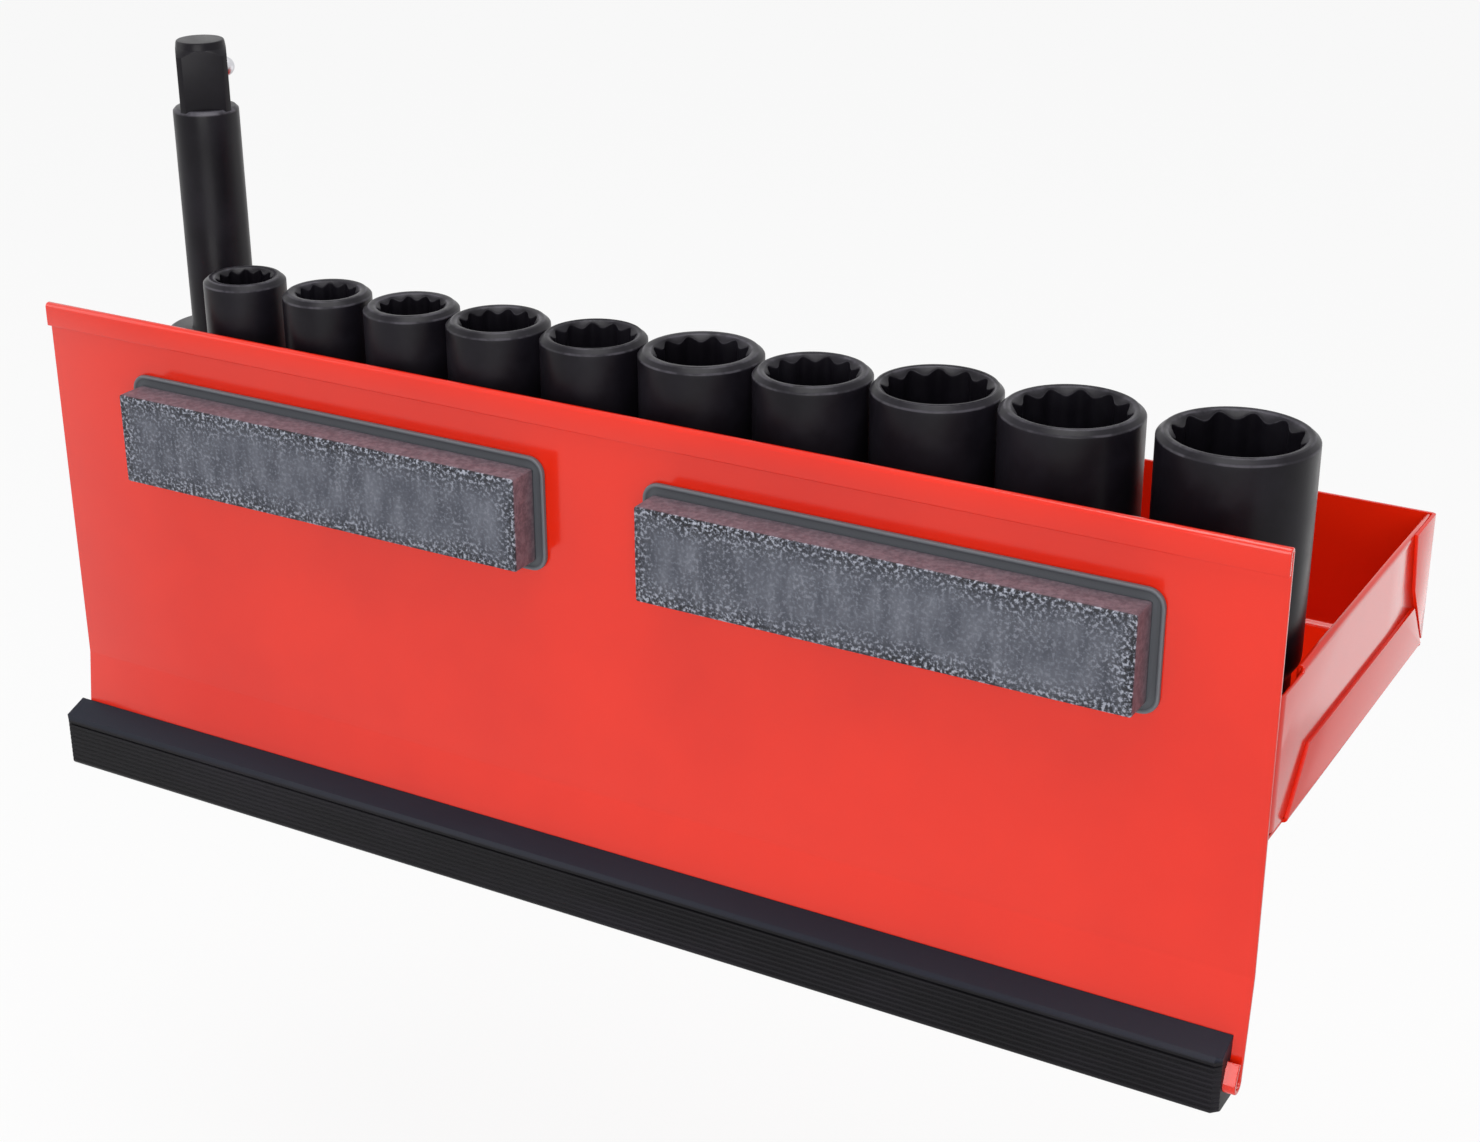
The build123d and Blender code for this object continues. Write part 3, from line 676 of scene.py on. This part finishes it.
# ---- sockets
sockets = {
    "length": 76.0, "webHole": 4.75, "driveEnd": 24.0, "taper": 3.0, "taperShare": 0.08, "waist": 50.0,
    "pointDepth": 26.0, "segments": 144,
    # below the top, in from the outside, wear
    "rim": [(2.3, 0.0, 0.0), (1.6, 0.0, 0.0), (1.36, 0.02, 0.4), (1.16, 0.14, 0.4), (0.96, 0.32, 0.05),
            (0.34, 1.06, 0.05), (0.12, 1.28, 0.45), (0.02, 1.5, 0.4), (0.0, 1.72, 0.12)],
    # below the top, out from the mouth, wear
    "lip": [(0.0, 0.9, 0.12), (0.05, 0.6, 0.15), (0.17, 0.12, 0.5), (0.25, 0.02, 0.6)],
    # share of the points' outline, wear, below the cone
    "mouth": [(0.2, 0.2, 0.0), (0.6, 0.05, 0.0), (0.92, 0.05, 0.0), (1.0, 0.3, 0.06), (1.0, 0.0, 0.4)],
    "mouthDrop": 0.25,
    # across flats, nose, drive end, centre x and y, turn of the points
    "row": [
        (12.0, 20.2, 24.0, 109.5, -23.5, 8.0), (13.0, 21.6, 24.0, 84.1, -23.8, 3.0),
        (14.0, 23.0, 23.6, 59.7, -24.9, 12.0), (16.0, 24.6, 24.6, 35.1, -25.5, 20.0),
        (17.0, 25.0, 25.0, 9.6, -27.0, 5.0), (19.0, 28.8, 25.0, -17.6, -29.4, 16.0),
        (18.0, 26.9, 25.0, -46.0, -29.5, 10.0), (21.0, 29.2, 26.0, -74.2, -33.6, 24.0),
        (22.0, 31.3, 28.0, -105.0, -34.9, 14.0), (24.0, 33.7, 30.0, -140.6, -37.2, 6.0),
    ],
}


def makeSocket(number, flats, nose, driveEnd, x, y, turn):
    top, end, outside = sockets["length"], driveEnd / 2, nose / 2
    points, well, web = pointRing(flats), roundRing(flats * 0.5774 + 0.3), roundRing(sockets["webHole"])
    coneTop = flats * 0.5774 + 0.38

    def cone(share, wearAndHighlight, below):  # the mouth's chamfer, lower at the lands than at the points
        lip = blendRing(roundRing(coneTop), points, share)
        return (lambda angle: top - sockets["mouthDrop"] - below - (coneTop - lip(angle)), lip, wearAndHighlight)

    taperLow, taperTop = sockets["driveEnd"], sockets["driveEnd"] + sockets["taper"]
    widening = (outside - end) * sockets["taperShare"]
    start = top - sockets["pointDepth"]
    rings = [
        *footRings(end),
        (taperLow - 0.6, roundRing(end), 0.0), (taperLow + 0.2, roundRing(end + widening), 0.1),
        (taperTop - 0.4, roundRing(outside - widening), 0.1), (taperTop + 0.6, roundRing(outside), 0.0),
        (sockets["waist"], roundRing(outside), 0.0),
        *[(top - below, roundRing(outside - inwards), wearAndHighlight) for below, inwards, wearAndHighlight in sockets["rim"]],
        *[(top - below, roundRing(coneTop + out), wearAndHighlight) for below, out, wearAndHighlight in sockets["lip"]],
        *[cone(*ring) for ring in sockets["mouth"]], (top - 12, points, 0.0), (start + 0.4, points, 0.0),
        (start, blendRing(points, well, 0.5), 0.2), (start - 0.3, well, 0.0), (taperTop + 1.5, well, 0.0),
        (taperTop, blendRing(well, web, 0.3), 0.0), (taperTop - 0.2, blendRing(well, web, 0.9), 0.0),
        (taperTop - 0.6, web, 0.2), (drive["depth"], web, 0.0), *boreRings(web),
    ]
    node = f"socket_{number:02d}"
    pullRings(f"socket.{number:02d}", (x, y, floorTop), radians(turn), rings, sockets["segments"],
              "black_steel", node, [node])


for number, sizes in enumerate(sockets["row"], start=1):
    makeSocket(number, *sizes)
print("sockets made")

# ---- extension bar: turned body, and the male square cut by a turned tip
bar = {
    "x": 145.0, "y": -54.4, "length": 125.0, "shaft": 8.4, "end": 15.5, "endLength": 48.7, "shoulder": 1.6,
    "square": 6.35, "squareLength": 17.0, "turned": 8.1, "turn": 222.0, "hole": 4.4, "core": 4.0,
    # above the wide end, out from the shaft, wear
    "neck": [(0.0, 0.9, 0.1), (0.25, 0.28, 0.1), (0.9, 0.0, 0.0)],
    # below the shaft's top, in from its side, wear
    "shaftTop": [(8.0, 0.0, 0.0), (1.2, 0.0, 0.0), (0.8, 0.05, 0.6), (0.1, 0.7, 0.6), (0.0, 0.95, 0.25)],
    # below the tip, radius
    "tip": [(3.4, 8.1), (3.2, 7.9), (2.0, 6.45), (1.8, 6.32), (0.5, 6.14), (0.15, 6.0), (0.0, 5.75)],
    "ball": 2.5, "ballProud": 1.8, "ballBelowTip": 7.2, "segments": 144,
}


def makeBar():
    end, shaft, wideEnd = bar["end"], bar["shaft"], bar["endLength"]
    hole, core = roundRing(bar["hole"]), roundRing(bar["core"])
    top = bar["length"] - bar["squareLength"]
    shoulder = [(wideEnd - bar["shoulder"] * (1 - sin(radians(a))),
                 roundRing(end - bar["shoulder"] * (1 - cos(radians(a)))), 0.35 if a < 60 else 0.15)
                for a in range(0, 91, 15)]
    rings = [
        *footRings(end), (wideEnd - bar["shoulder"] - 1, roundRing(end), 0.0), *shoulder,
        *[(wideEnd + above, roundRing(shaft + out), wearAndHighlight) for above, out, wearAndHighlight in bar["neck"]],
        *[(top - below, roundRing(shaft - inwards), wearAndHighlight) for below, inwards, wearAndHighlight in bar["shaftTop"]],
        (top, core, 0.0), (drive["depth"] + 0.6, core, 0.0), (drive["depth"], hole, 0.0), *boreRings(hole),
    ]
    pullRings("extensionBar", (bar["x"], bar["y"], floorTop), radians(bar["turn"]), rings,
              bar["segments"], "black_steel", "extension", ["extension_bar"])

    # the tang: a square prism, cut to the turned profile of its tip
    tang = bmesh.new()
    made = bmesh.ops.create_cube(tang, size=1.0)["verts"]
    across = 2 * bar["square"]
    bmesh.ops.scale(tang, vec=(across, across, bar["squareLength"] + 1), verts=made)
    bmesh.ops.translate(tang, vec=(0, 0, top + bar["squareLength"] / 2 - 0.5), verts=made)
    spun = Matrix.Rotation(radians(bar["turn"]), 3, "Z")
    bmesh.ops.rotate(tang, cent=(0, 0, 0), matrix=spun, verts=made)
    bmesh.ops.translate(tang, vec=(bar["x"], bar["y"], floorTop), verts=made)
    middle = roundRing(0.0)
    tip = [(bar["length"] - drop, roundRing(away), 0) for drop, away in bar["tip"]]
    turned = [(top - 2, middle, 0), (top - 2, roundRing(bar["turned"]), 0), *tip,
              (bar["length"], middle, 0)]
    cutter = pullRings("tangCutter", (bar["x"], bar["y"], floorTop), 0, turned,
                       bar["segments"], "black_steel", "extension", [])
    piece = finishPiece("extensionSquare", tang, "black_steel", "extension", [], 20)
    keepInside = piece.modifiers.new("turnedTip", "BOOLEAN")
    keepInside.operation, keepInside.solver, keepInside.object = "INTERSECT", "EXACT", cutter
    applyModifiers(piece)
    bpy.data.objects.remove(cutter)
    wearAndHighlight = piece.data.attributes.new("wearAndHighlight", "FLOAT", "FACE")
    for face in piece.data.polygons:  # lighter on the faces that point up: the turned tip is partly rubbed wear and partly a painted highlight of the light from above, its end face most of all
        rise = face.normal.z
        wearAndHighlight.data[face.index].value = 0.95 if rise > 0.97 else 0.36 if rise > 0.1 else 0.04
    softenEdges(piece, 0.3, 3, 24)


def applyModifiers(piece):
    bpy.context.view_layer.update()
    ready = piece.evaluated_get(bpy.context.evaluated_depsgraph_get())
    mesh = bpy.data.meshes.new_from_object(ready)
    piece.modifiers.clear()
    piece.data = mesh


def makeBall():
    shape = bmesh.new()
    made = bmesh.ops.create_uvsphere(shape, u_segments=48, v_segments=32, radius=bar["ball"])["verts"]
    away = bar["square"] - bar["ball"] + bar["ballProud"]
    turn = radians(bar["turn"])
    spot = (bar["x"] + cos(turn) * away, bar["y"] + sin(turn) * away,
            floorTop + bar["length"] - bar["ballBelowTip"])
    bmesh.ops.translate(shape, vec=spot, verts=made)
    finishPiece("detentBall", shape, "bright_steel", "detent", ["detent_ball"])


makeBar()
makeBall()
print("extension made")

# ---- camera, lamps and floor
view = {
    "place": (-0.289941, 0.427092, 0.308531),
    "right": (-0.867565, -0.497314, -0.003139),
    "up": (0.195926, -0.347582, 0.916951),
    "back": (-0.457104, 0.7949, 0.398987),
    "lens": 60.469,
}
cameraData = bpy.data.cameras.new("photoCamera")
cameraData.lens, cameraData.sensor_width, cameraData.sensor_fit = view["lens"], 36.0, "HORIZONTAL"
cameraData.clip_start, cameraData.clip_end = 0.02, 30
camera = bpy.data.objects.new("photoCamera", cameraData)
bpy.context.scene.collection.objects.link(camera)
axes = Matrix((view["right"], view["up"], view["back"])).transposed()
camera.matrix_world = Matrix.Translation(view["place"]) @ axes.to_4x4()
bpy.context.scene.camera = camera

studioLight = {"onPieces": 0.32, "seen": 1.0}
lamps = {
    "overhead": {"place": (-0.1, 0.15, 1.3), "aim": (0, -0.05, 0.06), "size": 0.8, "watts": 10},
    "front": {"place": (-0.5, 1.15, 0.36), "aim": (0, 0, 0.06), "size": 0.9, "watts": 9.5},
    "rightRear": {"place": (-0.30, -0.52, -0.03), "aim": (-0.16, -0.07, 0.07), "size": 0.36,
                  "watts": 0.21},
    "left": {"place": (0.95, 0.45, 0.5), "aim": (0, 0, 0.07), "size": 0.7, "watts": 2},
}


def addLamp(name, place, aim, size, watts):
    data = bpy.data.lights.new(name, "AREA")
    data.shape, data.size, data.energy = "SQUARE", size, watts
    lamp = bpy.data.objects.new(name, data)
    bpy.context.scene.collection.objects.link(lamp)
    turned = (Vector(aim) - Vector(place)).to_track_quat("-Z", "Y").to_matrix()
    lamp.matrix_world = Matrix.Translation(place) @ turned.to_4x4()


for name, lamp in lamps.items():
    addLamp(name, **lamp)

world = bpy.data.worlds.new("studio")
bpy.context.scene.world = world
world.use_nodes = True
background = next(n for n in world.node_tree.nodes if n.type == "BACKGROUND")
rays = world.node_tree.nodes.new("ShaderNodeLightPath")
seen = world.node_tree.nodes.new("ShaderNodeMath")
seen.operation = "MAXIMUM"
world.node_tree.links.new(rays.outputs["Is Camera Ray"], seen.inputs[0])
world.node_tree.links.new(rays.outputs["Is Glossy Ray"], seen.inputs[1])
strength = world.node_tree.nodes.new("ShaderNodeMapRange")
strength.inputs["To Min"].default_value = studioLight["onPieces"]
strength.inputs["To Max"].default_value = studioLight["seen"]
world.node_tree.links.new(seen.outputs[0], strength.inputs["Value"])
world.node_tree.links.new(strength.outputs[0], background.inputs["Strength"])
background.inputs["Color"].default_value = (1, 1, 1, 1)

backdrop = {"level": -0.16, "reach": 6.0}
floorShape = bmesh.new()
bmesh.ops.create_grid(floorShape, x_segments=1, y_segments=1, size=backdrop["reach"])
bmesh.ops.translate(floorShape, vec=(0, 0, backdrop["level"]), verts=floorShape.verts[:])
floorMesh = bpy.data.meshes.new("paleFloor")
floorShape.to_mesh(floorMesh)
floorShape.free()
paleFloor = bpy.data.objects.new("paleFloor", floorMesh)
bpy.context.scene.collection.objects.link(paleFloor)
paleFloor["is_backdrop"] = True
pale = Shader("paleFloor")
pale.set(Base_Color=(0.86, 0.86, 0.86, 1), Roughness=0.9)
paths = pale.tree.nodes.new("ShaderNodeLightPath")
glossy = Signal(pale, paths.outputs["Is Glossy Ray"])
direct = Signal(pale, paths.outputs["Is Camera Ray"]).atLeast(glossy)
glow = pale.node("ShaderNodeEmission", None, {"Color": (1, 1, 1, 1), "Strength": 1.0})
mixed = pale.node("ShaderNodeMixShader", None, {0: direct * 0.9})
pale.tree.links.new(pale.surface.outputs[0], mixed.socket.node.inputs[1])
pale.tree.links.new(glow.socket, mixed.socket.node.inputs[2])
pale.tree.links.new(mixed.socket, pale.output.inputs["Surface"])
floorMesh.materials.append(pale.material)

bpy.context.scene.view_settings.view_transform = "Standard"
print("lights and camera placed")

sizes = {"cad": [list(corner) for corner in cadBox], "visual": [list(corner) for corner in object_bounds()]}
